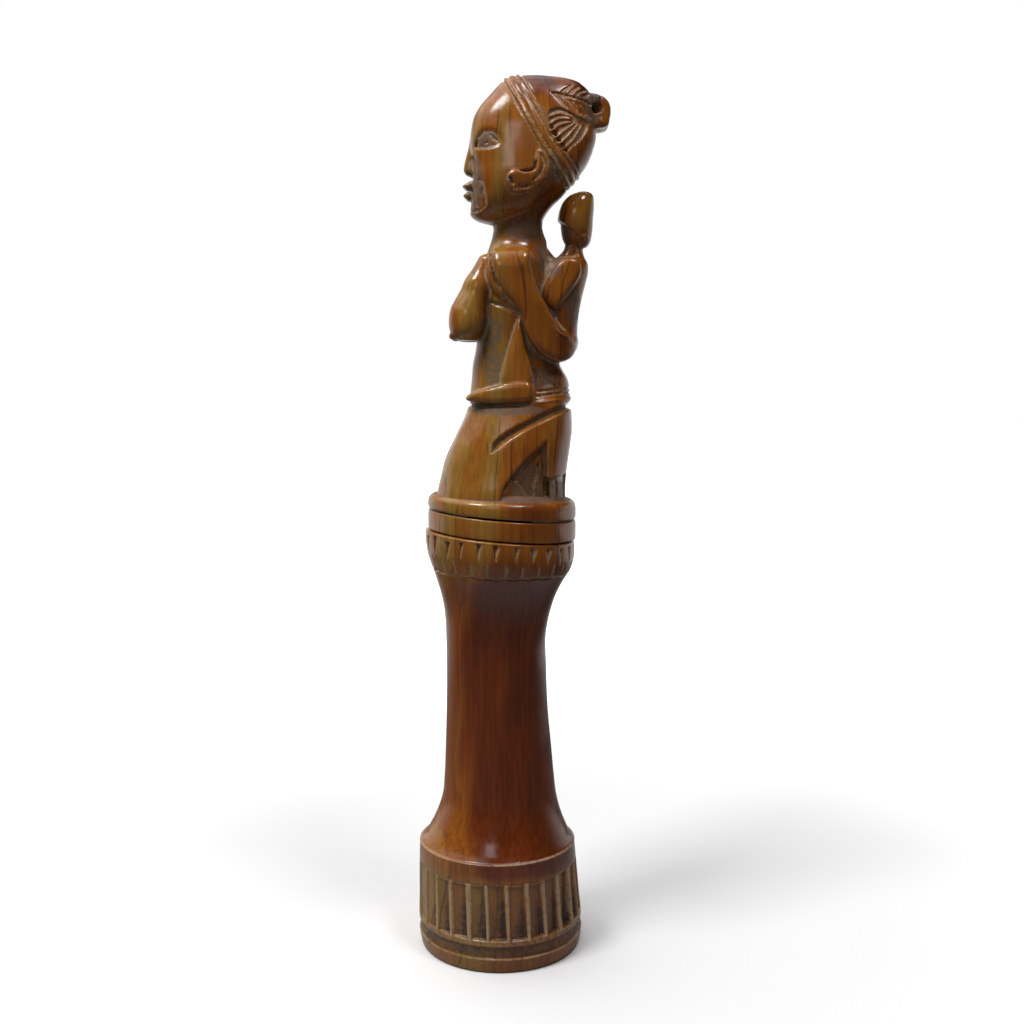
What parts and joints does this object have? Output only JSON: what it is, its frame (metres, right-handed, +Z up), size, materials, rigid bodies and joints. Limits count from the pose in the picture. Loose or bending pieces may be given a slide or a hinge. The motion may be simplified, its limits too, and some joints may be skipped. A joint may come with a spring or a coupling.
{
  "type": "fertility doll",
  "caption": "Carved wooden mother and child figure that stands as the stopper of a waisted, fluted container with a loose collar ring.",
  "frame": {"origin": "centre of the foot's underside, on the axis of the bore", "axes": "+Z up along the bore, -Y the way the mother faces, +X to the mother's left"},
  "size_m": [0.0442, 0.0502, 0.23],
  "materials": {
    "container_wood": "handled dark, polished",
    "plug_wood": "plain, unpolished",
    "ring_wood": "polished",
    "figure_wood": "polished"
  },
  "bodies": {
    "container": {"container_body": "container_wood", "base_plug": "plug_wood"},
    "ring": {"collar_ring": "ring_wood"},
    "stopper": {"figure_stopper": "figure_wood"}
  },
  "joints": [
    {"name": "ring_lift", "type": "slide", "parent": "container", "child": "ring", "axis": [0, 0, 1], "range_m": [0, 0.02]},
    {"name": "stopper_lift", "type": "slide", "parent": "ring", "child": "stopper", "axis": [0, 0, 1], "range_m": [0, 0.03]}
  ]
}
